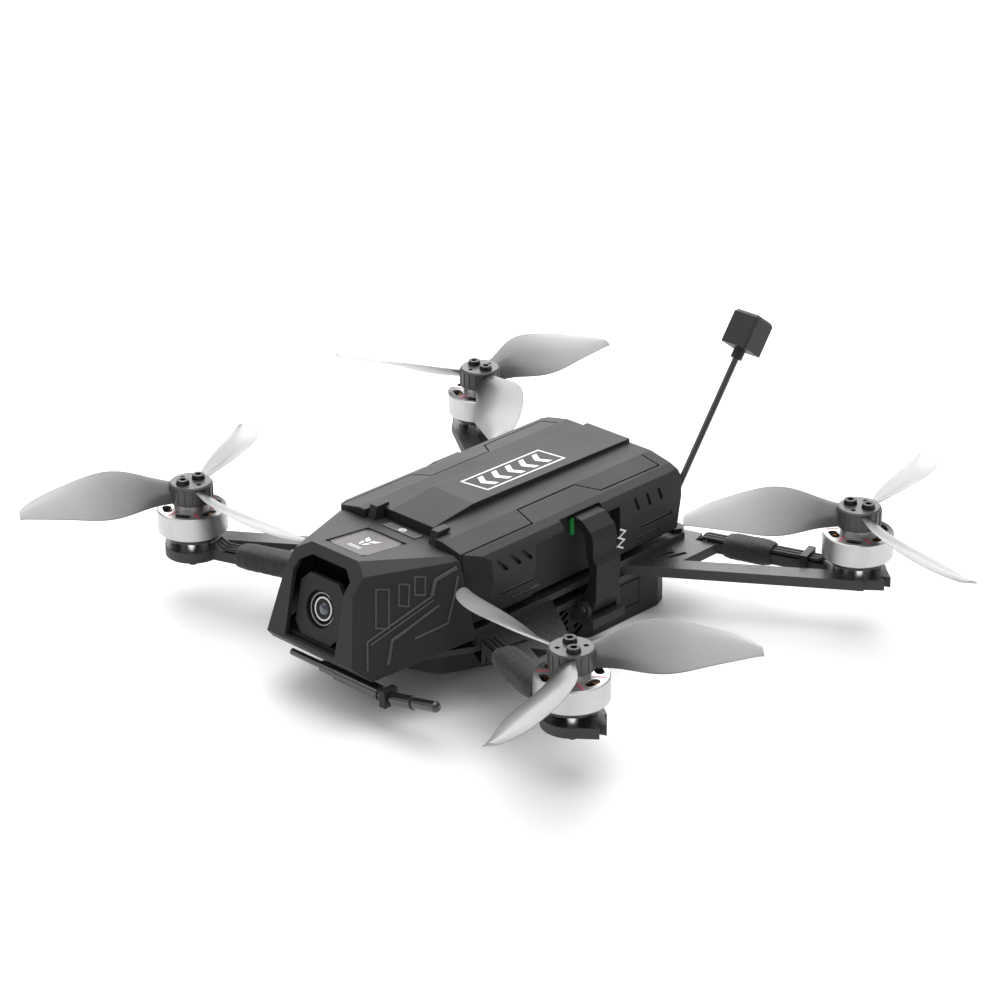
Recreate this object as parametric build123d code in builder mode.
from build123d import *
from math import asin, atan2, cos, degrees, hypot, radians, sin, sqrt, tan
import os

# FPV racing drone, in millimetres. The nose looks towards -Y, +X is the drone's left, +Z is up.
# The origin is on the ground under the middle of the four motors.

# ---------------------------------------------------------------- overall sizes
TRACK = 170.2              # motor axis to motor axis, across
WHEELBASE = 134.2          # motor axis to motor axis, along
PROP_RADIUS = 56.5         # a 4.5 inch propeller
BELLY_DEPTH = 14.5         # ground to the underside of the bottom plate
PLATE = 2.0                # thickness of the top and bottom frame plates
ARM = 3.5                  # thickness of the arm plates
RUN = 0.3                  # gap between bodies that move past each other

# ---------------------------------------------------------------- levels worked out from them
ARM_LOW = BELLY_DEPTH + PLATE
ARM_TOP = ARM_LOW + ARM
DECK = ARM_TOP + PLATE     # upper face of the top plate


def turned(x, y, angle):
    """A point turned about the origin, in degrees."""
    a = radians(angle)
    return (x * cos(a) - y * sin(a), x * sin(a) + y * cos(a))


def save(builder, label):
    """Name the finished piece and write its file."""
    builder.part.label = label
    export_step(builder.part, f"parts/{label}.step")
    print(f"{label:28s}{len(builder.part.solids()):4d} solids {builder.part.volume:12.1f} mm3")


os.makedirs("parts", exist_ok=True)

# The four corners: side signs, turning hand (+1 is counter-clockwise from above) and the
# direction in which the reference blade's tip rests, in degrees from +X.
CORNERS = {
    "front_left": (1, -1, 1, 169.2),
    "front_right": (-1, -1, -1, 241.3),
    "rear_left": (1, 1, -1, 345.9),
    "rear_right": (-1, 1, 1, 200.2),
}


SIDES = [(side, end) for side, end, hand, tip in CORNERS.values()]


def motor_centre(side, end):
    """Motor axis of one corner, seen from above."""
    return (side * TRACK / 2, end * WHEELBASE / 2)


# ================================================================ frame: two plates
PLATE_HALF = 30.0          # half width of the plates
PLATE_FRONT = -74.0
PLATE_REAR = 50.0
PLATE_CORNER = 4.0         # cut across the corners
PLATE_SLOTS = [(0, -38), (0, 33)]
NOSE_TAPER = 20.0          # half width of the bottom plate at its front end
TAPER_START = -52.0
CAMERA_DECK_FRONT = -90.4  # the top plate runs on under the camera
CAMERA_DECK_HALF = 18.0
STACK = 30.5               # hole spacing of the electronics stack
STACK_HOLE = 1.6
STACK_Y = 8.0              # centre of the electronics stack
M3 = 1.5
M3_CLEAR = 0.1
OUTER_BOLT_X = 27.0        # the two bolts that hold an arm
OUTER_BOLT_IN = 3.0        # from the outer beam's centre line towards the middle
INNER_BOLT_X = 24.0
INNER_BOLT_OUT = 3.0       # from the inner beam's centre line away from the middle
BEAM = 6.0                 # width of an arm's beams
ARM_ROOT_X = 18.0          # inner end of both beams
OUTER_ROOT_Y = 44.9        # where the beams' centre lines start
INNER_ROOT_Y = 12.85
INNER_OFFSET = 7.0         # inner beam's centre line to the motor axis
LEAD_X = 34.0              # where the motor leads drop through the arm
LEAD = 0.7                 # radius of one motor lead
LEAD_PITCH = 1.7
LEAD_SLOT = (3.4, 6.4)     # slot in the arm, along and across its beam

# The outer beam points at the motor; the inner one passes it at INNER_OFFSET.
motor_out = TRACK / 2 - ARM_ROOT_X
OUTER_ANGLE = degrees(atan2(WHEELBASE / 2 - OUTER_ROOT_Y, motor_out))
inner_rise = WHEELBASE / 2 - INNER_ROOT_Y
INNER_ANGLE = degrees(atan2(inner_rise, motor_out) - asin(INNER_OFFSET / hypot(motor_out, inner_rise)))


def outer_beam_y(x):
    """Centre line of the outer beam in the quadrant of +X, +Y."""
    return OUTER_ROOT_Y + (x - ARM_ROOT_X) * tan(radians(OUTER_ANGLE))


def inner_beam_y(x):
    """Centre line of the inner beam in the quadrant of +X, +Y."""
    return INNER_ROOT_Y + (x - ARM_ROOT_X) * tan(radians(INNER_ANGLE))


QUARTER_BOLTS = [
    (OUTER_BOLT_X, outer_beam_y(OUTER_BOLT_X) - OUTER_BOLT_IN),
    (INNER_BOLT_X, inner_beam_y(INNER_BOLT_X) + INNER_BOLT_OUT),
]
ARM_BOLTS = [(side * x, end * y) for side in (-1, 1) for end in (-1, 1) for x, y in QUARTER_BOLTS]
STACK_HOLES = [(sx * STACK / 2, STACK_Y + sy * STACK / 2) for sx in (-1, 1) for sy in (-1, 1)]


def plate_outline(front, nose_half):
    """Long chamfered shape of both plates, which end at front with this half width."""
    with BuildSketch() as outline:
        with BuildLine():
            Polyline(
                (0, front), (nose_half - PLATE_CORNER, front), (nose_half, front + PLATE_CORNER),
                (PLATE_HALF, TAPER_START), (PLATE_HALF, PLATE_REAR - PLATE_CORNER),
                (PLATE_HALF - PLATE_CORNER, PLATE_REAR), (0, PLATE_REAR),
            )
            mirror(about=Plane.YZ)
        make_face()
    return outline.sketch


for label, floor, front, nose_half in (
    ("bottom_plate", BELLY_DEPTH, PLATE_FRONT, NOSE_TAPER),
    ("top_plate", ARM_TOP, CAMERA_DECK_FRONT, CAMERA_DECK_HALF),
):
    plate_shape = plate_outline(front, nose_half)
    with BuildPart() as plate:
        with BuildSketch(Plane.XY.offset(floor)):
            add(plate_shape)
        extrude(amount=PLATE)
        with BuildSketch(Plane.XY.offset(floor)):
            with Locations(*ARM_BOLTS):
                Circle(M3 + M3_CLEAR)
            with Locations(*STACK_HOLES):
                Circle(STACK_HOLE)
            with Locations(*PLATE_SLOTS):
                RectangleRounded(22, 8, 3)
        extrude(amount=PLATE, mode=Mode.SUBTRACT)
    save(plate, label)

# ================================================================ four arms, each a V of two beams
PAD = 9.5                  # radius of the motor pad
BOSS_CIRCLE = 12.0         # motor screw circle
M2 = 1.0
M2_CLEAR = 0.1
WEB_FRONT = 57.0           # how far the V is filled in, front and rear arms
WEB_REAR = 41.0
FORK_X = 12.6              # the pad ends in two short prongs, this far beyond the motor axis
FORK_HALF = 1.6
FORK_NOTCH = 9.2
MOTOR_HOLE = 2.5           # clears the end of the motor's shaft

for where, (side, end, hand, tip) in CORNERS.items():
    web = WEB_REAR if end > 0 else WEB_FRONT
    mx, my = TRACK / 2, WHEELBASE / 2
    with BuildPart() as arm:
        with BuildSketch(Plane.XY.offset(ARM_LOW)) as outline:
            half = BEAM / 2
            rise = half / cos(radians(INNER_ANGLE))
            with BuildLine():
                Polyline(
                    (ARM_ROOT_X, outer_beam_y(ARM_ROOT_X) - half), (mx, my - half),
                    (mx, my + half), (ARM_ROOT_X, outer_beam_y(ARM_ROOT_X) + half), close=True,
                )
            make_face()
            inner_end = mx + FORK_X - 4.6
            with BuildLine():
                Polyline(
                    (ARM_ROOT_X, INNER_ROOT_Y - rise),
                    (inner_end, inner_beam_y(inner_end) - rise),
                    (inner_end - 2, inner_beam_y(inner_end) + rise),
                    (ARM_ROOT_X, INNER_ROOT_Y + rise), close=True,
                )
            make_face()
            with BuildLine():
                Polyline(
                    (ARM_ROOT_X, INNER_ROOT_Y), (web, inner_beam_y(web)),
                    (web, outer_beam_y(web)), (ARM_ROOT_X, OUTER_ROOT_Y), close=True,
                )
            make_face()
            with Locations((mx, my)):
                Circle(PAD)
            with BuildLine():
                Polyline(
                    (mx, my + PAD - 0.5), (mx + 5.5, my + PAD - 2), (mx + FORK_X, my + FORK_HALF),
                    (mx + FORK_NOTCH, my), (mx + FORK_X, my - FORK_HALF), (mx + 5.5, my - PAD + 2),
                    (mx, my - PAD + 0.5), close=True,
                )
            make_face()
            with Locations(*QUARTER_BOLTS):
                Circle(M3 + M3_CLEAR, mode=Mode.SUBTRACT)
            with Locations((LEAD_X + 0.6, outer_beam_y(LEAD_X + 0.6))):
                Rectangle(*LEAD_SLOT, rotation=OUTER_ANGLE, mode=Mode.SUBTRACT)
            with Locations((mx, my)):
                Circle(MOTOR_HOLE, mode=Mode.SUBTRACT)
                with PolarLocations(BOSS_CIRCLE / 2, 4, start_angle=45):
                    Circle(M2 + M2_CLEAR, mode=Mode.SUBTRACT)
            if end > 0:
                for x in (33.5, 37.0):
                    with Locations((x, inner_beam_y(x) + 8.5)):
                        Rectangle(1.6, 7.0, rotation=-18, mode=Mode.SUBTRACT)
            else:
                hx, hy = web - 6.0, (inner_beam_y(web - 6) + outer_beam_y(web - 6)) / 2
                with BuildLine():
                    Polyline((hx - 3.5, hy), (hx + 3.0, hy + 3.2), (hx + 3.0, hy - 3.2), close=True)
                make_face(mode=Mode.SUBTRACT)
                with Locations((hx - 8.5, hy)):
                    Rectangle(1.8, 6.5, rotation=12, mode=Mode.SUBTRACT)
        extrude(amount=ARM)
        if end < 0:
            mirror(about=Plane.XZ, mode=Mode.REPLACE)
        if side < 0:
            mirror(about=Plane.YZ, mode=Mode.REPLACE)
    save(arm, f"arm_{where}")

# ================================================================ frame screws
HEAD = 2.75
HEAD_TALL = 1.6
HEX_KEY = 1.1
NUT = 2.7
with BuildPart() as frame_screws:
    for x, y in ARM_BOLTS:
        with BuildSketch(Plane.XY.offset(BELLY_DEPTH)):
            with Locations((x, y)):
                Circle(M3)
        extrude(amount=DECK - BELLY_DEPTH)
        with BuildSketch(Plane.XY.offset(BELLY_DEPTH - HEAD_TALL)):
            with Locations((x, y)):
                Circle(HEAD)
                RegularPolygon(HEX_KEY, 6, mode=Mode.SUBTRACT)
        extrude(amount=HEAD_TALL)
        with BuildSketch(Plane.XY.offset(DECK)):
            with Locations((x, y)):
                RegularPolygon(NUT, 6)
        extrude(amount=HEAD_TALL)
save(frame_screws, "frame_screws")

# ================================================================ motors: fixed half
BOSS_TALL = 3.0
BOSS_RADIUS = 1.7
BASE_LOW = ARM_TOP + BOSS_TALL
BASE_TALL = 1.3
BASE_RADIUS = 9.0
BELL_RADIUS = 11.5
BELL_WALL = 0.8
BELL_LOW = BASE_LOW + BASE_TALL + 0.7
BELL_TALL = 8.0
BELL_TOP = BELL_LOW + BELL_TALL
BELL_ROOF = 1.0
MAGNET = 1.0
MAGNET_COUNT = 12
AIR_GAP = 0.4
TUBE = 4.0                 # outer radius of the bearing tube
BEARING = 3.0              # outer radius of a bearing
BEARING_TALL = 2.0
SHAFT = 1.0
SHAFT_RUN = 0.03           # running clearance of the shaft in its bearings
TEETH = 9
MOUNT_BOSS = 5.8           # raised seat that carries the propeller
MOUNT_TALL = 2.5
HUB_RADIUS = 7.05
HUB_TALL = 6.5
HUB_LOW = BELL_TOP + MOUNT_TALL
HUB_TOP = HUB_LOW + HUB_TALL
STATOR_RADIUS = BELL_RADIUS - BELL_WALL - MAGNET - AIR_GAP
STATOR_LOW = BASE_LOW + BASE_TALL + 1.2
STATOR_TALL = 4.4
TUBE_TOP = BELL_TOP - BELL_ROOF - 0.8
MOTORS = [motor_centre(side, end) for side, end in SIDES]

with BuildPart() as motor_bases:
    for mx, my in MOTORS:
        with BuildSketch(Plane.XY.offset(BASE_LOW)):
            with Locations((mx, my)):
                Circle(BASE_RADIUS)
                Circle(BEARING, mode=Mode.SUBTRACT)
                with PolarLocations(6.4, 4):
                    SlotOverall(4.6, 2.2, rotation=90, mode=Mode.SUBTRACT)
        extrude(amount=BASE_TALL)
        with BuildSketch(Plane.XY.offset(ARM_TOP)):
            with Locations((mx, my)):
                with PolarLocations(BOSS_CIRCLE / 2, 4, start_angle=45):
                    Circle(BOSS_RADIUS)
        extrude(amount=BOSS_TALL)
        with BuildSketch(Plane.XY.offset(BASE_LOW)):
            with Locations((mx, my)):
                Circle(TUBE)
                Circle(BEARING, mode=Mode.SUBTRACT)
        extrude(amount=TUBE_TOP - BASE_LOW)
        with BuildSketch(Plane.XY.offset(ARM_TOP)):
            with Locations((mx, my)):
                with PolarLocations(BOSS_CIRCLE / 2, 4, start_angle=45):
                    Circle(M2)
        extrude(amount=BOSS_TALL, mode=Mode.SUBTRACT)
save(motor_bases, "motor_bases")

with BuildPart() as motor_screws:
    for mx, my in MOTORS:
        with BuildSketch(Plane.XY.offset(ARM_LOW)):
            with Locations((mx, my)):
                with PolarLocations(BOSS_CIRCLE / 2, 4, start_angle=45):
                    Circle(M2)
        extrude(amount=ARM + BOSS_TALL - 0.2)
        for k in range(4):
            dx, dy = turned(BOSS_CIRCLE / 2, 0, 45 + 90 * k)
            with BuildSketch(Plane.XY.offset(ARM_LOW)):
                with Locations((mx + dx, my + dy)):
                    Circle(2.0)
            extrude(amount=-1.4, taper=22)
save(motor_screws, "motor_screws")

with BuildPart() as motor_bearings:
    for mx, my in MOTORS:
        for low in (BASE_LOW, TUBE_TOP - BEARING_TALL):
            with BuildSketch(Plane.XY.offset(low)):
                with Locations((mx, my)):
                    Circle(BEARING)
                    Circle(SHAFT + SHAFT_RUN, mode=Mode.SUBTRACT)
            extrude(amount=BEARING_TALL)
save(motor_bearings, "motor_bearings")

TOOTH = 1.3
with BuildPart() as stator_cores:
    for mx, my in MOTORS:
        with BuildSketch(Plane.XY.offset(STATOR_LOW)):
            with Locations((mx, my)):
                Circle(TUBE + 1.2)
                Circle(TUBE, mode=Mode.SUBTRACT)
                with PolarLocations((TUBE + STATOR_RADIUS) / 2 + 0.3, TEETH):
                    Rectangle(STATOR_RADIUS - TUBE - 0.9, TOOTH)
                with PolarLocations(STATOR_RADIUS - 0.55, TEETH):
                    RectangleRounded(1.1, 4.6, 0.3)
                Circle(TUBE, mode=Mode.SUBTRACT)
        extrude(amount=STATOR_TALL)
save(stator_cores, "stator_cores")

COIL_IN = TUBE + 1.4
COIL_OUT = STATOR_RADIUS - 1.25
with BuildPart() as stator_windings:
    for mx, my in MOTORS:
        with BuildSketch(Plane.XY.offset(STATOR_LOW - 0.7)):
            with Locations((mx, my)):
                with PolarLocations((COIL_IN + COIL_OUT) / 2, TEETH):
                    RectangleRounded(COIL_OUT - COIL_IN, 3.1, 0.5)
        extrude(amount=STATOR_TALL + 1.4)
        with BuildSketch(Plane.XY.offset(STATOR_LOW)):
            with Locations((mx, my)):
                with PolarLocations((COIL_IN + COIL_OUT) / 2, TEETH):
                    Rectangle(COIL_OUT - COIL_IN + 2, TOOTH)
        extrude(amount=STATOR_TALL, mode=Mode.SUBTRACT)
save(stator_windings, "stator_windings")

# ================================================================ rotors
SCREW_SPACING = 6.4
PIN_SPACING = 8.6
SCREW_TURN = 26.0          # screw line ahead of the reference blade's tip
PROP_SCREW_HEAD = 2.25
PROP_SCREW_TALL = 1.5
SPOKES = 6
SPOKE_RIM = 1.0            # solid ring inside and outside the roof's windows
WINDOW_LONG = 5.4
WINDOW_WIDE = BELL_RADIUS - BELL_WALL - MOUNT_BOSS - 2 * SPOKE_RIM
WINDOW_CIRCLE = (BELL_RADIUS - BELL_WALL + MOUNT_BOSS) / 2
CAMBER = 0.5               # bow of a blade's section
BLADE_THICK = 0.45         # half thickness of a blade at its tip
BLADE_THIN = 0.4           # and how much more of it there is at the hub

# Stations of one blade: radius, leading edge ahead of the radius, trailing edge behind it,
# pitch in degrees, height of the section's middle above the hub's underside.
BLADE = [
    (5.5, 3.4, 3.2, 36, 3.0),
    (12.0, 5.6, 3.6, 35, 3.2),
    (20.0, 8.8, 5.6, 32, 3.4),
    (28.0, 9.9, 7.4, 29, 3.4),
    (37.0, 8.4, 7.6, 24, 3.2),
    (46.0, 5.2, 7.0, 20, 2.8),
    (52.5, 1.4, 6.6, 17, 2.4),
    (PROP_RADIUS * 0.9925, -2.2, 6.9, 15, 2.1),
]
TIP_LAG = degrees(atan2((BLADE[-1][2] - BLADE[-1][1]) / 2, BLADE[-1][0]))


def blade_plane(station, hand, angle, centre):
    """Plane of one blade section, its X axis along the chord towards the leading edge."""
    radius, lead, trail, pitch, height = station
    x, y = turned(radius, hand * (lead - trail) / 2, angle)
    out = turned(1, 0, angle)
    along = turned(0, hand * cos(radians(pitch)), angle)
    return Plane(
        origin=(centre[0] + x, centre[1] + y, HUB_LOW + height),
        x_dir=(along[0], along[1], sin(radians(pitch))),
        z_dir=(out[0], out[1], 0),
    )


def blade(hand, angle, centre):
    """One twisted, cambered blade, lofted through its stations."""
    with BuildPart() as body:
        for station in BLADE:
            radius, lead, trail, pitch, height = station
            half = (lead + trail) / cos(radians(pitch)) / 2
            thick = BLADE_THICK + BLADE_THIN * (1 - radius / PROP_RADIUS)
            with BuildSketch(blade_plane(station, hand, angle, centre)):
                with BuildLine():
                    ThreePointArc((-half, 0), (0, hand * (CAMBER + thick)), (half, 0))
                    ThreePointArc((half, 0), (0, hand * (CAMBER - thick)), (-half, 0))
                make_face()
        loft()
    return body.part


for where, (side, end, hand, tip) in CORNERS.items():
    mx, my = motor_centre(side, end)
    screw_line = tip - hand * SCREW_TURN
    screw_at = [turned(s * SCREW_SPACING / 2, 0, screw_line) for s in (-1, 1)]
    pin_at = [turned(s * PIN_SPACING / 2, 0, screw_line + 90) for s in (-1, 1)]

    with BuildPart() as bell:
        with BuildSketch(Plane.XY.offset(BELL_LOW)):
            with Locations((mx, my)):
                Circle(BELL_RADIUS)
                Circle(BELL_RADIUS - BELL_WALL, mode=Mode.SUBTRACT)
        extrude(amount=BELL_TALL)
        with BuildSketch(Plane.XY.offset(BELL_TOP - BELL_ROOF)):
            with Locations((mx, my)):
                Circle(BELL_RADIUS - BELL_WALL / 2)
                with PolarLocations(WINDOW_CIRCLE, SPOKES):
                    SlotOverall(WINDOW_LONG, WINDOW_WIDE, rotation=90, mode=Mode.SUBTRACT)
        extrude(amount=BELL_ROOF)
        with BuildSketch(Plane.XY.offset(BELL_TOP)):
            with Locations((mx, my)):
                Circle(MOUNT_BOSS)
        extrude(amount=MOUNT_TALL)
        with BuildSketch(Plane.XY.offset(TUBE_TOP + RUN)):
            with Locations((mx, my)):
                Circle(1.9)
        extrude(amount=BELL_TOP - BELL_ROOF - TUBE_TOP - RUN)
        with BuildSketch(Plane.XY.offset(TUBE_TOP)):
            with Locations((mx, my)):
                Circle(SHAFT)
        extrude(amount=HUB_LOW - TUBE_TOP, mode=Mode.SUBTRACT)
        with BuildSketch(Plane.XY.offset(BELL_TOP - BELL_ROOF)):
            with Locations(*[(mx + x, my + y) for x, y in screw_at]):
                Circle(M2)
        extrude(amount=BELL_ROOF + MOUNT_TALL, mode=Mode.SUBTRACT)
        rims = bell.edges().filter_by(GeomType.CIRCLE).filter_by(
            lambda e: abs(e.radius - BELL_RADIUS) < 0.01)
        chamfer(rims, 0.35)
    save(bell, f"bell_{where}")

    with BuildPart() as magnets:
        with BuildSketch(Plane.XY.offset(BELL_LOW + 0.6)):
            with Locations((mx, my)):
                Circle(BELL_RADIUS - BELL_WALL)
                Circle(BELL_RADIUS - BELL_WALL - MAGNET, mode=Mode.SUBTRACT)
                with PolarLocations(BELL_RADIUS - 1.3, MAGNET_COUNT):
                    Rectangle(3, 0.6, mode=Mode.SUBTRACT)
        extrude(amount=BELL_TALL - BELL_ROOF - 1.2)
    save(magnets, f"magnets_{where}")

    with BuildPart() as shaft:
        with BuildSketch(Plane.XY.offset(BASE_LOW - 0.6)):
            with Locations((mx, my)):
                Circle(SHAFT)
        extrude(amount=HUB_LOW - BASE_LOW + 0.6)
    save(shaft, f"shaft_{where}")

    blades = [blade(hand, tip + hand * TIP_LAG + 120 * k, (mx, my)) for k in range(3)]
    with BuildPart() as propeller:
        with BuildSketch(Plane.XY.offset(HUB_LOW)):
            with Locations((mx, my)):
                Circle(HUB_RADIUS)
        extrude(amount=HUB_TALL)
        chamfer(propeller.faces().sort_by(Axis.Z)[-1].edges(), 0.5)
        for one in blades:
            add(one)
        with BuildSketch(Plane.XY.offset(HUB_LOW)):
            with Locations(*[(mx + x, my + y) for x, y in screw_at]):
                Circle(M2 + M2_CLEAR)
            with Locations(*[(mx + x, my + y) for x, y in pin_at]):
                Circle(0.8)
        extrude(amount=HUB_TALL, mode=Mode.SUBTRACT)
    save(propeller, f"propeller_{where}")

    with BuildPart() as prop_screws:
        for x, y in screw_at:
            with BuildSketch(Plane.XY.offset(BELL_TOP - BELL_ROOF)):
                with Locations((mx + x, my + y)):
                    Circle(M2)
            extrude(amount=HUB_TOP - BELL_TOP + BELL_ROOF)
            with BuildSketch(Plane.XY.offset(HUB_TOP)):
                with Locations((mx + x, my + y)):
                    Circle(PROP_SCREW_HEAD)
                    RegularPolygon(0.8, 6, mode=Mode.SUBTRACT)
            extrude(amount=PROP_SCREW_TALL, taper=12)
    save(prop_screws, f"prop_screws_{where}")

# ================================================================ battery pack
PACK_LOW = DECK + 2.0
PACK_HALF = 32.3           # widest, along the fold line of the sides
PACK_TRAVEL = 3.2          # how far the pack slides back to come off its hooks
PACK_REAR = 41.4
PACK_FRONT = -54.4         # front of the shoulders, either side of the nose's tongue
SHOULDER_HALF = PACK_HALF - 5.3    # shoulders are cut back beyond this, past the front propellers
TONGUE_HALF = 15.8
TONGUE_REAR = -49.0
TIP_CLEAR = 0.5            # propeller tip to the pack
PACK_WALL = 1.6
FOLD = 13.8                # height of the fold line above the pack's underside
SHOULDER = 25.5            # height of the shoulders above the pack's underside
reach = PROP_RADIUS + TIP_CLEAR
CORNER_Y = -WHEELBASE / 2 + sqrt(max(reach ** 2 - (TRACK / 2 - PACK_HALF) ** 2, 0))


def pack_block(inset):
    """The battery pack's outer shape, shrunk by inset on every side."""
    half = PACK_HALF - inset
    low = PACK_LOW + inset
    top = PACK_LOW + SHOULDER - inset
    with BuildPart() as block:
        with BuildSketch(Plane.XZ.offset(-(PACK_REAR - inset))):
            with BuildLine():
                Polyline(
                    (0, low), (half - 3.2, low), (half - 1.7, low + 1.5), (half, PACK_LOW + FOLD),
                    (half - 0.4, top - 4.8), (half - 1.9, top - 3.1), (half - 5.1, top - 1.8),
                    (half - 13.7, top), (0, top),
                )
                mirror(about=Plane.YZ)
            make_face()
        extrude(amount=PACK_REAR - PACK_FRONT - 2 * inset)
        with BuildSketch(Plane.XY.offset(PACK_LOW)):
            with BuildLine():
                Polyline(
                    (0, TONGUE_REAR + inset), (TONGUE_HALF + inset, TONGUE_REAR + inset),
                    (TONGUE_HALF + inset, PACK_FRONT + inset),
                    (SHOULDER_HALF - inset * 0.5, PACK_FRONT + inset),
                    (half, CORNER_Y + inset * 0.6), (half, PACK_REAR - inset),
                    (0, PACK_REAR - inset),
                )
                mirror(about=Plane.YZ)
            make_face()
        extrude(amount=SHOULDER + 2, mode=Mode.INTERSECT)
    return block.part


RIDGE_HALF = 9.4           # raised strip along the pack's top
RIDGE_START = -31.0
RIDGE_FRONT = 2.3          # height of the strip above the shoulders, front and rear
RIDGE_REAR = 1.3
NOTCH_FRONT = -27.0        # recess of the side latches
NOTCH_REAR = 12.0
NOTCH_IN = PACK_HALF - 4.4
NOTCH_TOP = 19.4           # above the pack's underside
BUMP_FRONT = -14.0         # the recess is taller here
BUMP_REAR = 4.5
BUMP_TOP = 22.6

pack_outer = pack_block(0)
pack_inner = pack_block(PACK_WALL)
pack_skin = pack_block(0.5)
SHOULDER_TOP = PACK_LOW + SHOULDER
BASE_HALF = NOTCH_IN - PACK_WALL
PANEL_HALF = PACK_HALF - 13.2      # the panel line on top steps in to here beside the latches
PANEL_END = 4.6
PANEL_LINE = 0.28

with BuildPart() as pack_core:
    add(pack_inner)
    with BuildSketch(Plane.XY.offset(PACK_LOW)):
        for side in (-1, 1):
            with Locations((side * (BASE_HALF + 10), (NOTCH_FRONT + NOTCH_REAR) / 2)):
                Rectangle(20, NOTCH_REAR - NOTCH_FRONT + 2 * PACK_WALL)
    extrude(amount=SHOULDER - PACK_WALL, mode=Mode.SUBTRACT)

with BuildPart() as pack_lines:
    with BuildSketch(Plane.XY.offset(PACK_LOW + FOLD + 4)):
        with BuildLine():
            Polyline(
                (SHOULDER_HALF, PACK_FRONT - 1), (SHOULDER_HALF, BUMP_FRONT - 9),
                (PANEL_HALF, BUMP_FRONT - 7.6), (PANEL_HALF, BUMP_REAR),
                (SHOULDER_HALF - 1, BUMP_REAR + 5), (SHOULDER_HALF - 0.6, PACK_REAR - PANEL_END),
                (PANEL_HALF, PACK_REAR - PANEL_END),
            )
            offset(amount=PANEL_LINE)
        make_face()
        mirror(about=Plane.YZ)
    extrude(amount=SHOULDER)
    add(pack_skin, mode=Mode.SUBTRACT)

# Slanted gills above the fold line: place, lean from level, length. The grooves below it: place,
# height above the pack's underside, length.
GILL_DROP = 8.1
GILL_WIDE = 1.3
GROOVE_WIDE = 1.1
PACK_GILLS = [
    (-41.7, 42, 6.4), (-35.8, 42, 6.2), (-30.8, 42, 6.0),
    (20.0, 69, 5.2), (25.6, 69, 5.0), (31.2, 69, 4.8),
]
PACK_GROOVES = [(-34.3, 7.6, 15.2), (-29.7, 3.9, 13.1), (30.1, 8.5, 15.0), (26.8, 4.6, 11.2)]
with BuildPart() as pack_slots:
    for side in (-1, 1):
        for y, lean, length in PACK_GILLS:
            with BuildSketch(Plane(origin=(side * (PACK_HALF + 1), y, SHOULDER_TOP - GILL_DROP),
                                   x_dir=(0, 1, 0), z_dir=(side, 0, 0))):
                SlotOverall(length, GILL_WIDE, rotation=-side * lean)
            extrude(amount=-2.4)
        for y, height, length in PACK_GROOVES:
            with BuildSketch(Plane(origin=(side * (PACK_HALF + 1), y, PACK_LOW + height),
                                   x_dir=(0, 1, 0), z_dir=(side, 0, 0))):
                SlotOverall(length, GROOVE_WIDE)
            extrude(amount=-2.8)

with BuildPart() as battery_shell:
    add(pack_outer)
    with BuildSketch(Plane.YZ):
        with BuildLine():
            Polyline(
                (TONGUE_REAR, SHOULDER_TOP - 0.6), (TONGUE_REAR, SHOULDER_TOP + 0.05),
                (RIDGE_START, SHOULDER_TOP + RIDGE_FRONT), (PACK_REAR, SHOULDER_TOP + RIDGE_REAR),
                (PACK_REAR, SHOULDER_TOP - 0.6), close=True,
            )
        make_face()
    extrude(amount=RIDGE_HALF, both=True)
    for side in (-1, 1):
        for front, rear, top in ((NOTCH_FRONT, NOTCH_REAR, NOTCH_TOP), (BUMP_FRONT, BUMP_REAR, BUMP_TOP)):
            with BuildSketch(Plane.XY.offset(PACK_LOW - 1)):
                with Locations((side * (NOTCH_IN + 10), (front + rear) / 2)):
                    Rectangle(20, rear - front)
            extrude(amount=top + 1, mode=Mode.SUBTRACT)
    add(pack_core.part, mode=Mode.SUBTRACT)
    with BuildSketch(Plane.XY.offset(PACK_LOW)):
        with Locations((0, (TONGUE_REAR + PACK_REAR) / 2)):
            Rectangle(2 * BASE_HALF, PACK_REAR - TONGUE_REAR - 2 * PACK_WALL)
    extrude(amount=PACK_WALL + 0.1, mode=Mode.SUBTRACT)
    add(pack_lines.part, mode=Mode.SUBTRACT)
    add(pack_slots.part, mode=Mode.SUBTRACT)

PLUG_HALF = 9.0
PLUG_LOW = PACK_LOW + 5.0
PLUG_TALL = 8.0
with BuildPart() as battery_shell_open:
    add(battery_shell.part)
    with BuildSketch(Plane.XZ.offset(-TONGUE_REAR + 0.5)):
        with Locations((0, PLUG_LOW + PLUG_TALL / 2)):
            Rectangle(2 * PLUG_HALF, PLUG_TALL)
    extrude(amount=-(PACK_WALL + 2), mode=Mode.SUBTRACT)
save(battery_shell_open, "battery_shell")

with BuildPart() as battery_base:
    with BuildSketch(Plane.XY.offset(PACK_LOW)):
        with Locations((0, (TONGUE_REAR + PACK_REAR) / 2)):
            Rectangle(2 * BASE_HALF - 0.2, PACK_REAR - TONGUE_REAR - 2 * PACK_WALL - 0.2)
    extrude(amount=PACK_WALL)
save(battery_base, "battery_base")

CELLS = 4
CELL_TALL = 4.8
CELL_GAP = 0.15
CELL_HALF = BASE_HALF - 0.6
CELL_FRONT = TONGUE_REAR + 13.0
CELL_LENGTH = 70.0
with BuildPart() as battery_cells:
    for k in range(CELLS):
        with BuildSketch(Plane.XY.offset(PACK_LOW + PACK_WALL + 0.15 + k * (CELL_TALL + CELL_GAP))):
            with Locations((0, CELL_FRONT + CELL_LENGTH / 2)):
                RectangleRounded(2 * CELL_HALF, CELL_LENGTH, 1.5)
        extrude(amount=CELL_TALL)
save(battery_cells, "battery_cells")

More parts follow.
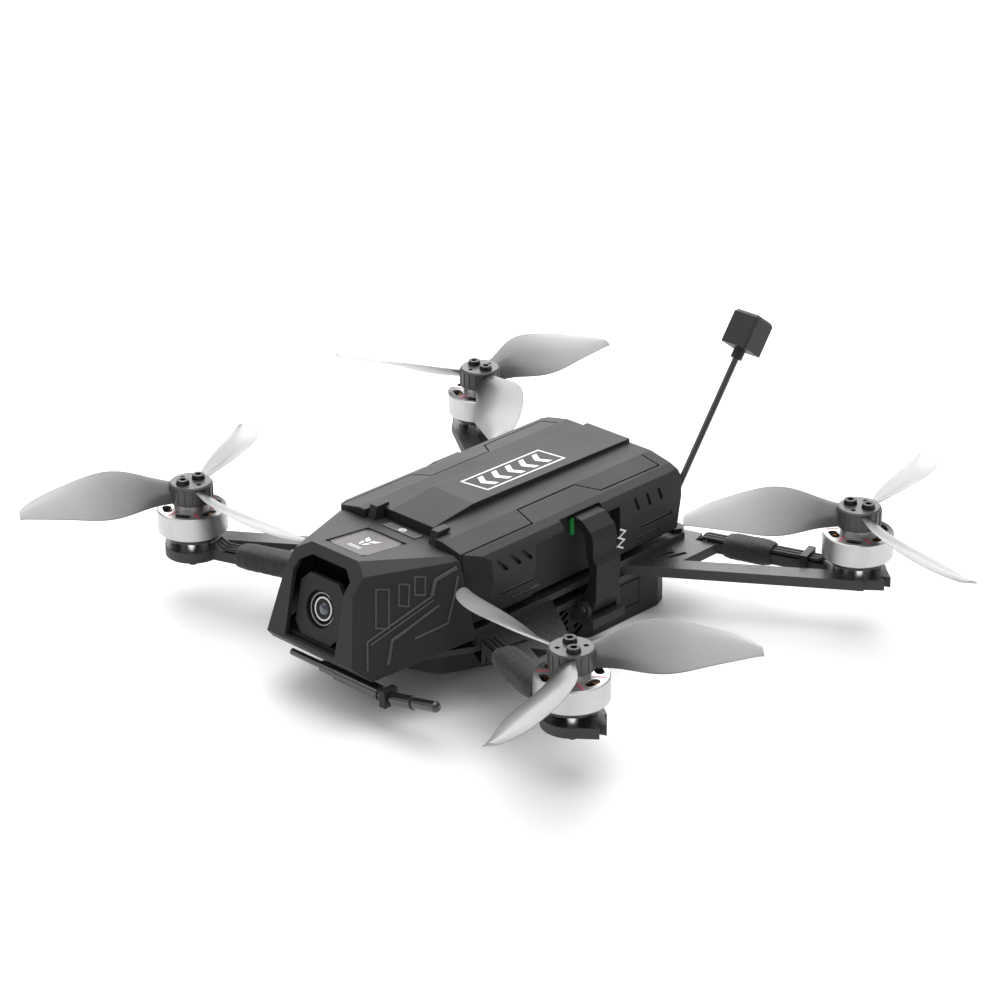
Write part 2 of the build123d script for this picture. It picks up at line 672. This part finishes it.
PLUG_BACK = 8.0
BLADE_LONG = 2.6
BLADES = [(x, PLUG_LOW + PLUG_TALL / 2) for x in (-6.0, -2.0, 2.0, 6.0)]
with BuildPart() as battery_plug:
    with BuildSketch(Plane.XZ.offset(-TONGUE_REAR)):
        with Locations((0, PLUG_LOW + PLUG_TALL / 2)):
            Rectangle(2 * PLUG_HALF - 0.2, PLUG_TALL - 0.2)
    extrude(amount=-PLUG_BACK)
    with BuildSketch(Plane.XZ.offset(-TONGUE_REAR)):
        with Locations(*BLADES):
            Rectangle(0.8, 5.0)
    extrude(amount=BLADE_LONG)
save(battery_plug, "battery_plug")

SOCKET_GAP = 0.4
SOCKET_LONG = 9.0
with BuildPart() as battery_socket:
    with BuildSketch(Plane.XZ.offset(-TONGUE_REAR + SOCKET_GAP)):
        with Locations((0, (DECK + PLUG_LOW + PLUG_TALL) / 2)):
            Rectangle(2 * PLUG_HALF, PLUG_LOW + PLUG_TALL - DECK)
    extrude(amount=SOCKET_LONG)
    with BuildSketch(Plane.XZ.offset(-TONGUE_REAR + SOCKET_GAP)):
        with Locations(*BLADES):
            Rectangle(0.8 + 2 * RUN, 5.0 + 2 * RUN)
    extrude(amount=BLADE_LONG + 0.6, mode=Mode.SUBTRACT)
save(battery_socket, "battery_socket")

# Two rails on the top plate carry the pack.
RAIL_TALL = PACK_LOW - DECK - RUN
RAIL_X = 18.0
RAIL_WIDE = 5.0
RAIL_LONG = 78.0
with BuildPart() as battery_rails:
    for side in (-1, 1):
        with BuildSketch(Plane.XY.offset(DECK)):
            with Locations((side * RAIL_X, (TONGUE_REAR + PACK_REAR) / 2)):
                RectangleRounded(RAIL_WIDE, RAIL_LONG, 2.0)
            with Locations(*ARM_BOLTS, *STACK_HOLES):
                Circle(3.2, mode=Mode.SUBTRACT)
        extrude(amount=RAIL_TALL)
save(battery_rails, "battery_rails")

# ================================================================ nose shell
NOSE_WALL = 1.6
NOSE_LOW = BELLY_DEPTH - 0.5
NOSE_REAR = PACK_FRONT - 0.4
# The side walls reach down past the plates; their lower edge rises towards the rear.
SKIRT_FRONT = (-95.0, BELLY_DEPTH - 0.1)
SKIRT_REAR = (-40.0, DECK + 2.2)
# One point on each of the nose's outer faces, and the face's outward direction.
NOSE_FACES = [
    ((0, -88.9, DECK + 20.2), (0, -4.3, 1)),           # front
    ((0, -88.9, DECK + 20.2), (0, -1.06, 1)),          # brow
    ((0, -81.7, DECK + 27.8), (0, 0.107, 1)),          # top
    ((0, -93.9, DECK - 1.3), (0, -1, -1.01)),          # chin
]
for side in (-1, 1):
    NOSE_FACES.append(((side * 15.4, -84.3, DECK + 25.0), (side * 3.62, -1.345, 1)))
    NOSE_FACES.append(((side * 15.4, -84.3, DECK + 25.0), (side * 0.484, -0.146, 1)))


def nose_block(inset, rear):
    """The nose's faceted outer shape, shrunk by inset, cut off square at rear."""
    with BuildPart() as block:
        with BuildSketch(Plane.XY.offset(NOSE_LOW + inset)):
            with Locations((0, rear - 30)):
                Rectangle(80, 60)
        extrude(amount=40)
        for point, normal in NOSE_FACES:
            n = Vector(*normal).normalized()
            cut = Plane(origin=Vector(*point) - n * inset, z_dir=n)
            split(bisect_by=cut, keep=Keep.BOTTOM)
    return block.part


TONGUE_GAP = 0.4
nose_outer = nose_block(0, TONGUE_REAR - TONGUE_GAP)
nose_inner = nose_block(NOSE_WALL, TONGUE_REAR + 5)
WINDOW_TOP = DECK + 25.4
WINDOW_BROW = DECK + 22.8
WINDOW_LOW = DECK - 0.4

with BuildPart() as nose_shell:
    add(nose_outer)
    with BuildSketch(Plane.XY):
        for side in (-1, 1):
            with Locations((side * (TONGUE_HALF - TONGUE_GAP + 20), NOSE_REAR + 20)):
                Rectangle(40, 40)
    extrude(amount=80, mode=Mode.SUBTRACT)
    add(nose_inner, mode=Mode.SUBTRACT)
    with BuildSketch(Plane.YZ):
        with BuildLine():
            Polyline(SKIRT_FRONT, SKIRT_REAR, (SKIRT_REAR[0], 0), (SKIRT_FRONT[0], 0), close=True)
        make_face()
    extrude(amount=80, both=True, mode=Mode.SUBTRACT)
    with BuildSketch(Plane.XZ.offset(100)):
        with BuildLine():
            Polyline(
                (-7.1, WINDOW_TOP), (7.1, WINDOW_TOP), (11.6, WINDOW_BROW), (11.2, WINDOW_LOW),
                (-11.2, WINDOW_LOW), (-11.6, WINDOW_BROW), close=True,
            )
        make_face()
    extrude(amount=-17, mode=Mode.SUBTRACT)

LABEL_HALF = 8.7
LABEL_FRONT = -78.0
LABEL_REAR = -59.6
LABEL_DEEP = 0.5
BUTTON_HALF = 7.6
BUTTON_FRONT = -55.3
BUTTON_REAR = -51.0
BUTTON_PROUD = 0.3
BUTTON_LOW = DECK + 21.0
nose_sink = nose_block(LABEL_DEEP, TONGUE_REAR + 5)

with BuildPart() as label_pocket:
    with BuildSketch(Plane.XY.offset(DECK + 10)):
        with Locations((0, (LABEL_FRONT + LABEL_REAR) / 2)):
            Rectangle(2 * LABEL_HALF, LABEL_REAR - LABEL_FRONT)
    extrude(amount=40)
    add(nose_sink, mode=Mode.SUBTRACT)

with BuildPart() as nose_shell_done:
    add(nose_shell.part)
    add(label_pocket.part, mode=Mode.SUBTRACT)
    with BuildSketch(Plane.XY.offset(DECK + 10)):
        with Locations((0, (BUTTON_FRONT + BUTTON_REAR) / 2)):
            RectangleRounded(2 * BUTTON_HALF, BUTTON_REAR - BUTTON_FRONT, 0.8)
    extrude(amount=40, mode=Mode.SUBTRACT)
save(nose_shell_done, "nose_shell")

button_top = nose_block(-BUTTON_PROUD, TONGUE_REAR + 5)
with BuildPart() as power_button:
    add(button_top)
    with BuildSketch(Plane.XY.offset(DECK + 10)):
        with Locations((0, (BUTTON_FRONT + BUTTON_REAR) / 2)):
            RectangleRounded(2 * (BUTTON_HALF - RUN), BUTTON_REAR - BUTTON_FRONT - 2 * RUN, 0.6)
    extrude(amount=40, mode=Mode.INTERSECT)
    with BuildSketch(Plane.XY):
        Rectangle(60, 300)
    extrude(amount=BUTTON_LOW, mode=Mode.SUBTRACT)
save(power_button, "power_button")

HOOK_X = 13.6
HOOK_WIDE = 3.0
HOOK_TALL = 1.2
HOOK_FRONT = TONGUE_REAR - 6.0
HOOK_REAR = TONGUE_REAR + 1.8
HOOK_FOOT = SHOULDER_TOP - 6.0
HOOK_LOW = SHOULDER_TOP + RUN
with BuildPart() as front_hooks:
    for side in (-1, 1):
        with BuildSketch(Plane.YZ.offset(side * HOOK_X - HOOK_WIDE / 2)):
            with BuildLine():
                Polyline(
                    (HOOK_FRONT, HOOK_FOOT), (HOOK_FRONT + 2.5, HOOK_LOW + HOOK_TALL),
                    (HOOK_REAR, HOOK_LOW + HOOK_TALL), (HOOK_REAR, HOOK_LOW),
                    (TONGUE_REAR - TONGUE_GAP, HOOK_LOW), (TONGUE_REAR - TONGUE_GAP, HOOK_FOOT), close=True,
                )
            make_face()
        extrude(amount=HOOK_WIDE)
    add(nose_outer, mode=Mode.SUBTRACT)
save(front_hooks, "front_hooks")

# ================================================================ camera, tilted back like the nose's front
CAMERA_TILT = 13.1
CAMERA_PLATE = (19.6, 20.0)
CAMERA_CORNER = 3.4
LENS_SEAT = 6.0
LENS_SINK = 2.4            # how far the lens sits back from the camera's front plate
camera_face = Plane(
    origin=(0, -88.8, DECK + 10.6), x_dir=(1, 0, 0),
    z_dir=(0, -cos(radians(CAMERA_TILT)), sin(radians(CAMERA_TILT))),
)
with BuildPart() as camera_body:
    with BuildSketch(camera_face) as front:
        Rectangle(*CAMERA_PLATE)
        chamfer(front.vertices(), CAMERA_CORNER)
    extrude(amount=-2.0)
    with BuildSketch(camera_face.offset(-2.0)):
        Rectangle(14.0, 14.0)
    extrude(amount=-9.0)
    with BuildSketch(camera_face):
        Circle(LENS_SEAT)
    extrude(amount=-5.0 - LENS_SINK, mode=Mode.SUBTRACT)
save(camera_body, "camera_body")

with BuildPart() as camera_lens:
    with BuildSketch(camera_face.offset(-5.0 - LENS_SINK)):
        Circle(LENS_SEAT - 0.1)
    extrude(amount=6.2)
    with BuildSketch(camera_face.offset(1.2 - LENS_SINK)):
        Circle(4.9)
    extrude(amount=-1.4, taper=20, mode=Mode.SUBTRACT)
save(camera_lens, "camera_lens")

with BuildPart() as camera_glass:
    with BuildSketch(camera_face.offset(-0.2 - LENS_SINK)):
        Circle(4.3)
    extrude(amount=0.9, taper=25)
save(camera_glass, "camera_glass")

# ================================================================ belly shell
LEAD_DROP = BELLY_DEPTH - 3.3      # height at which the motor leads enter the belly
LEAD_IN = {-1: (12.0, 38.0), 1: (14.0, 28.0)}
LEAD_OUT = TRACK / 2 - 12.0
LEAD_BEND = 2.4
BELLY_HALF = 30.0
BELLY_REAR = 40.0
BELLY_WALL = 1.6
BELLY_SIDE_START = 1.8     # straight sides run back from here
CHAMFER_HALF = 21.0
CHAMFER_FRONT = -19.0
KEEL_FRONT = -67.0
FLANK_HALF = 23.9          # the front is wide again, under the nose
FLANK_FRONT = -61.0
FLANK_REAR = -37.0
RAMP_START = -26.0         # the underside rises ahead of this
RAMP_RISE = 9.5


def belly_block(inset):
    with BuildPart() as block:
        with BuildSketch(Plane.XY.offset(inset)):
            with BuildLine():
                Polyline(
                    (0, KEEL_FRONT + inset), (FLANK_HALF - 7 - inset * 0.4, KEEL_FRONT + inset),
                    (FLANK_HALF - inset, FLANK_FRONT + inset * 0.4), (FLANK_HALF - inset, FLANK_REAR),
                    (CHAMFER_HALF - inset, CHAMFER_FRONT - 9),
                    (CHAMFER_HALF - inset, CHAMFER_FRONT + inset * 0.4),
                    (BELLY_HALF - inset, BELLY_SIDE_START + inset * 0.5),
                    (BELLY_HALF - inset, BELLY_REAR - 7),
                    (BELLY_HALF - 2.2 - inset * 0.7, BELLY_REAR - 2.2 - inset * 0.3),
                    (BELLY_HALF - 7 - inset * 0.3, BELLY_REAR - inset), (0, BELLY_REAR - inset),
                )
                mirror(about=Plane.YZ)
            make_face()
        extrude(amount=BELLY_DEPTH - inset)
        with BuildSketch(Plane.YZ.offset(-50)):
            with BuildLine():
                Polyline(
                    (RAMP_START + inset * 0.1, inset - 0.01), (KEEL_FRONT - 5, inset + RAMP_RISE * 1.13),
                    (KEEL_FRONT - 5, inset - 3), (RAMP_START + inset * 0.1, inset - 3), close=True,
                )
            make_face()
        extrude(amount=100, mode=Mode.SUBTRACT)
    return block.part


belly_outer = belly_block(0)
belly_inner = belly_block(BELLY_WALL)
belly_skin = belly_block(0.5)
LATCH_FRONT = -7.1
LATCH_REAR = 3.9
PIN = 1.0
PIN_RUN = 0.05
PIVOT_X = PLATE_HALF + 5.5
PIVOT_Z = BELLY_DEPTH + 1.1
EAR = 1.6
EAR_RADIUS = 2.4
SHELF_OUT = PIVOT_X + 4.5
DOOR_Y = 16.8
DOOR_Z = 9.0

with BuildPart() as belly_marks:
    for side in (-1, 1):
        door_middle = (side * (BELLY_HALF + 1), DOOR_Y, DOOR_Z)
        door_face = Plane(origin=door_middle, x_dir=(0, 1, 0), z_dir=(side, 0, 0))
        with BuildSketch(door_face):
            Rectangle(14.4, 9.2)
            Rectangle(13.6, 8.4, mode=Mode.SUBTRACT)
        extrude(amount=-3)
    add(belly_skin, mode=Mode.SUBTRACT)

VENT_COLUMNS = 2
VENT_SHIFT = 3.6           # towards the straight side
VENT_ROWS = 4
VENT_Z = 7.4
with BuildPart() as belly_shell:
    add(belly_outer)
    for side in (-1, 1):
        with BuildSketch(Plane.XY.offset(PIVOT_Z - 5.6)):
            with Locations((side * (BELLY_HALF + SHELF_OUT) / 2, (LATCH_FRONT + LATCH_REAR) / 2)):
                Rectangle(SHELF_OUT - BELLY_HALF + 0.2, LATCH_REAR - LATCH_FRONT + 2 * EAR + 2 * RUN)
        extrude(amount=3.0)
        for y in (LATCH_FRONT - RUN - EAR, LATCH_REAR + RUN):
            with BuildSketch(Plane.XZ.offset(-y - EAR)):
                with Locations((side * PIVOT_X, PIVOT_Z)):
                    Circle(EAR_RADIUS)
                with Locations((side * PIVOT_X, PIVOT_Z - 2.8)):
                    Rectangle(2 * EAR_RADIUS, 5.6)
            extrude(amount=EAR)
            with BuildSketch(Plane.XZ.offset(-y - EAR)):
                with Locations((side * PIVOT_X, PIVOT_Z)):
                    Circle(PIN)
            extrude(amount=EAR, mode=Mode.SUBTRACT)
    add(belly_inner, mode=Mode.SUBTRACT)
    add(belly_marks.part, mode=Mode.SUBTRACT)
    for side in (-1, 1):
        run_x, run_y = BELLY_HALF - CHAMFER_HALF, BELLY_SIDE_START - CHAMFER_FRONT
        face_mid = (side * (BELLY_HALF + CHAMFER_HALF) / 2, (BELLY_SIDE_START + CHAMFER_FRONT) / 2, VENT_Z)
        vent_face = Plane(origin=face_mid, x_dir=(side * run_x, run_y, 0), z_dir=(side * run_y, -run_x, 0))
        with BuildSketch(vent_face.offset(1)):
            with Locations((side * VENT_SHIFT, 0)):
                with GridLocations(5.0, 2.7, VENT_COLUMNS, VENT_ROWS):
                    SlotOverall(4.2, 1.2, rotation=side * 48)
        extrude(amount=-4, mode=Mode.SUBTRACT)
        for end in (-1, 1):
            start = Vector(side * LEAD_X, end * outer_beam_y(LEAD_X), LEAD_DROP)
            stop = Vector(side * LEAD_IN[end][0], end * LEAD_IN[end][1], LEAD_DROP)
            with BuildSketch(Plane(origin=start, x_dir=(0, 0, 1), z_dir=stop - start)):
                RectangleRounded(2.2, 6.4, 1.0)
            extrude(amount=(stop - start).length, mode=Mode.SUBTRACT)
save(belly_shell, "belly_shell")

# ================================================================ side latches
# Outline of a latch seen along the drone: the hook at the top, down the outside past a thumb ledge,
# round the pivot and back up the inside.
LATCH_EYE = 2.4
LATCH_TOP = PACK_LOW + BUMP_TOP - 0.7
LATCH_OUTLINE = [
    (NOTCH_IN + 0.4, LATCH_TOP - 2.5), (NOTCH_IN + 0.6, LATCH_TOP),
    (PACK_HALF + 0.7, LATCH_TOP - 0.7), (PACK_HALF + 4.9, LATCH_TOP - 3.9),
    (PACK_HALF + 5.9, LATCH_TOP - 7.3), (PACK_HALF + 5.8, LATCH_TOP - 12.3),
    (PACK_HALF + 7.4, LATCH_TOP - 14.7), (PIVOT_X + 3.9, PIVOT_Z + 3.0),
    (PIVOT_X + 2.1, PIVOT_Z - 1.0), (PIVOT_X - 1.9, PIVOT_Z - 1.0), (PIVOT_X - 1.5, PIVOT_Z + 3.8),
    (PACK_HALF + 3.7, PIVOT_Z + 7.8), (PACK_HALF + 4.1, LATCH_TOP - 15.9),
    (PACK_HALF + 2.9, LATCH_TOP - 12.3), (PACK_HALF + 2.7, LATCH_TOP - 7.5),
    (PACK_HALF + 1.3, LATCH_TOP - 4.9), (PACK_HALF - 1.1, LATCH_TOP - 3.3),
]
with BuildPart() as latch_pins:
    for side in (-1, 1):
        with BuildSketch(Plane.XZ.offset(-LATCH_REAR - RUN - EAR)):
            with Locations((side * PIVOT_X, PIVOT_Z)):
                Circle(PIN)
        extrude(amount=LATCH_REAR - LATCH_FRONT + 2 * (RUN + EAR))
save(latch_pins, "latch_pins")

for label, side in (("latch_left", 1), ("latch_right", -1)):
    with BuildPart() as latch:
        with BuildSketch(Plane.XZ.offset(-LATCH_REAR)):
            with BuildLine():
                Polyline(*[(side * x, z) for x, z in LATCH_OUTLINE], close=True)
            make_face()
            with Locations((side * PIVOT_X, PIVOT_Z)):
                Circle(LATCH_EYE)
                Circle(PIN + PIN_RUN, mode=Mode.SUBTRACT)
        extrude(amount=LATCH_REAR - LATCH_FRONT)
        outside = latch.edges().filter_by(Axis.Y).filter_by(lambda e: abs(e.center().X) > PACK_HALF + 4.7)
        fillet(outside, 0.8)
    save(latch, label)

# ================================================================ electronics inside the belly
BOARD = 36.0
BOARD_THICK = 1.6
ESC_LOW = BELLY_WALL + 2.0
FC_LOW = ESC_LOW + 4.6
POST = 1.5
for label, low, chips in (
    ("esc_board", ESC_LOW, [(sx * 11, sy * 9) for sx in (-1, 1) for sy in (-1, 1)]),
    ("flight_controller", FC_LOW, [(0, 0), (9, 10), (-9, -11)]),
):
    with BuildPart() as board:
        with BuildSketch(Plane.XY.offset(low)):
            with Locations((0, STACK_Y)):
                RectangleRounded(BOARD, BOARD, 2.5)
            with Locations(*STACK_HOLES):
                Circle(POST + M3_CLEAR, mode=Mode.SUBTRACT)
        extrude(amount=BOARD_THICK)
        with BuildSketch(Plane.XY.offset(low + BOARD_THICK)):
            with Locations(*[(x, STACK_Y + y) for x, y in chips]):
                Rectangle(6, 6)
        extrude(amount=1.1)
    save(board, label)

with BuildPart() as stack_posts:
    for x, y in STACK_HOLES:
        with BuildSketch(Plane.XY.offset(BELLY_WALL)):
            with Locations((x, y)):
                Circle(POST)
        extrude(amount=DECK - BELLY_WALL + 1.2)
save(stack_posts, "stack_posts")

with BuildPart() as video_transmitter:
    with BuildSketch(Plane.XY.offset(BELLY_WALL + 0.4)):
        with Locations((9.5, BELLY_REAR - BELLY_WALL - 7.0)):
            Rectangle(22, 10)
    extrude(amount=6.5)
save(video_transmitter, "video_transmitter")

with BuildPart() as receiver_board:
    with BuildSketch(Plane.XY.offset(9.0)):
        with Locations((0, -40)):
            Rectangle(16, 18)
    extrude(amount=3.0)
save(receiver_board, "receiver_board")

# ================================================================ video antenna, leaning back
MAST_X = 20.0
MAST_Y = PACK_REAR + PACK_TRAVEL + 1.1
MAST_Z = DECK - 0.5
MAST_LEAN = 36.8
MAST = 1.1
MAST_LONG = 59.0
MAST_TUBE = 0.8            # wall of the mount's tube
MAST_SINK = 1.5
HEAD_LONG = 12.0
HEAD_WIDE = 10.5
HEAD_NECK = 3.5
lean = radians(MAST_LEAN)
mast_plane = Plane(origin=(MAST_X, MAST_Y, MAST_Z), x_dir=(1, 0, 0), z_dir=(0, sin(lean), cos(lean)))

with BuildPart() as antenna_mount:
    with BuildSketch(Plane.XY.offset(DECK)):
        with Locations((MAST_X - 1.0, PLATE_REAR - 3.4)):
            RectangleRounded(8.0, 6.4, 1.5)
    extrude(amount=1.6)
    with BuildSketch(mast_plane):
        Circle(MAST + MAST_TUBE)
    extrude(amount=7.5)
    with BuildSketch(Plane.XY.offset(DECK - 20)):
        with Locations((MAST_X, PLATE_REAR - 4)):
            Rectangle(30, 30)
    extrude(amount=20, mode=Mode.SUBTRACT)
    with BuildSketch(mast_plane.offset(MAST_SINK)):
        Circle(MAST)
    extrude(amount=20, mode=Mode.SUBTRACT)
save(antenna_mount, "antenna_mount")

with BuildPart() as antenna_mast:
    with BuildSketch(mast_plane.offset(MAST_SINK)):
        Circle(MAST)
    extrude(amount=MAST_LONG)
save(antenna_mast, "antenna_mast")

with BuildPart() as antenna_head:
    with BuildSketch(mast_plane.offset(MAST_SINK + MAST_LONG)):
        Circle(MAST + 0.9)
    extrude(amount=HEAD_NECK)
    with BuildSketch(mast_plane.offset(MAST_SINK + MAST_LONG + HEAD_NECK)):
        RectangleRounded(HEAD_WIDE, HEAD_WIDE, 1.0)
    extrude(amount=HEAD_LONG)
    chamfer(antenna_head.faces().sort_by(Axis((0, 0, 0), (0, sin(lean), cos(lean))))[-1].edges(), 1.0)
save(antenna_head, "antenna_head")

# ================================================================ receiver antenna under the nose
RX_Y = -85.6
RX_Z = BELLY_DEPTH - 3.7
RX_BEND_X = 29.0           # the antenna's end turns up from here
RX_TILT = 13.0
# Stretches of the level part and of the raised end: start, stop, radius.
RX_LEVEL = [(-17.0, -3.0, 1.2), (-3.0, 4.0, 1.9), (4.0, 23.0, 2.4), (23.0, RX_BEND_X, 1.9)]
RX_RAISED = [(0.0, 8.5, 2.2), (8.5, 19.5, 1.75)]
rx_tilt = radians(RX_TILT)
rx_level = Plane(origin=(0, RX_Y, RX_Z), x_dir=(0, 1, 0), z_dir=(1, 0, 0))
rx_raised = Plane(origin=(RX_BEND_X, RX_Y, RX_Z), x_dir=(0, 1, 0), z_dir=(cos(rx_tilt), 0, sin(rx_tilt)))
with BuildPart() as receiver_antenna:
    for plane, stretches in ((rx_level, RX_LEVEL), (rx_raised, RX_RAISED)):
        for start, stop, radius in stretches:
            with BuildSketch(plane.offset(start)):
                Circle(radius)
            extrude(amount=stop - start)
    tip_edge = receiver_antenna.edges().filter_by(GeomType.CIRCLE).sort_by(Axis.X)[-1]
    fillet(tip_edge, 1.4)
save(receiver_antenna, "receiver_antenna")

# ================================================================ motor leads, sleeves and cable ties
LEAD_Z = ARM_TOP + LEAD + 0.05
SLEEVE_WALL = 1.2
SLEEVE_INNER = 7.0
SLEEVE_SPAN = {-1: (44.0, 68.0), 1: (42.5, 58.0)}
TIE_X = 68.0               # rear arms only
TIE_WIDE = 2.4
TIE_STRAP = 0.9
RX_TIE_X = 25.0


def beam_plane(x, side, end):
    """Plane square to the outer beam, its X axis level, its Y axis up, looking at the motor."""
    a = radians(OUTER_ANGLE)
    return Plane(
        origin=(side * x, end * outer_beam_y(x), 0),
        x_dir=(-side * sin(a), end * cos(a), 0) if side * end > 0 else (side * sin(a), -end * cos(a), 0),
        z_dir=(side * cos(a), end * sin(a), 0),
    )


with BuildPart() as arm_sleeves:
    for side, end in SIDES:
        start, stop = SLEEVE_SPAN[end]
        low, top = ARM_LOW - 0.15, LEAD_Z + LEAD + 0.15
        with BuildSketch(beam_plane(start, side, end)):
            with Locations((0, (low + top) / 2)):
                RectangleRounded(SLEEVE_INNER + 2 * SLEEVE_WALL, top - low + 2 * SLEEVE_WALL, 2.2)
                Rectangle(SLEEVE_INNER, top - low, mode=Mode.SUBTRACT)
            if end < 0:
                with Locations((side * SLEEVE_INNER / 2, (ARM_LOW + ARM_TOP) / 2)):
                    Rectangle(SLEEVE_INNER, ARM + RUN, mode=Mode.SUBTRACT)
        extrude(amount=(stop - start) / cos(radians(OUTER_ANGLE)))
save(arm_sleeves, "arm_sleeves")

beam_turn = radians(OUTER_ANGLE)
with BuildPart() as motor_leads:
    for side, end in SIDES:
        for k in (-1, 0, 1):
            shift = k * LEAD_PITCH
            quarter = [(*LEAD_IN[end], LEAD_DROP), (LEAD_X, outer_beam_y(LEAD_X), LEAD_DROP),
                       (LEAD_X, outer_beam_y(LEAD_X), LEAD_Z), (LEAD_OUT, outer_beam_y(LEAD_OUT), LEAD_Z),
                       (LEAD_OUT + 3.2, outer_beam_y(LEAD_OUT + 3.2), BASE_LOW - 0.4)]
            points = [
                (side * (x - shift * sin(beam_turn)), end * (y + shift * cos(beam_turn)), z)
                for x, y, z in quarter
            ]
            with BuildLine() as route:
                FilletPolyline(*points, radius=[LEAD_BEND, LEAD_BEND, 1.6])
            with BuildSketch(Plane(origin=route.line @ 0, z_dir=route.line % 0)):
                Circle(LEAD)
            sweep(path=route.line)
save(motor_leads, "motor_leads")

with BuildPart() as cable_ties:
    low, top = ARM_LOW - 0.05, LEAD_Z + LEAD + 0.05
    for side in (-1, 1):
        with BuildSketch(beam_plane(TIE_X, side, 1)):
            with Locations((0, (low + top) / 2)):
                Rectangle(BEAM + 0.4 + 2 * TIE_STRAP, top - low + 2 * TIE_STRAP)
                Rectangle(BEAM + 0.4, top - low, mode=Mode.SUBTRACT)
        extrude(amount=TIE_WIDE)
    with BuildSketch(Plane.YZ.offset(RX_TIE_X)):
        with Locations((RX_Y, RX_Z)):
            Rectangle(5.6, 5.6)
            Circle(1.9, mode=Mode.SUBTRACT)
    extrude(amount=TIE_WIDE)
save(cable_ties, "cable_ties")
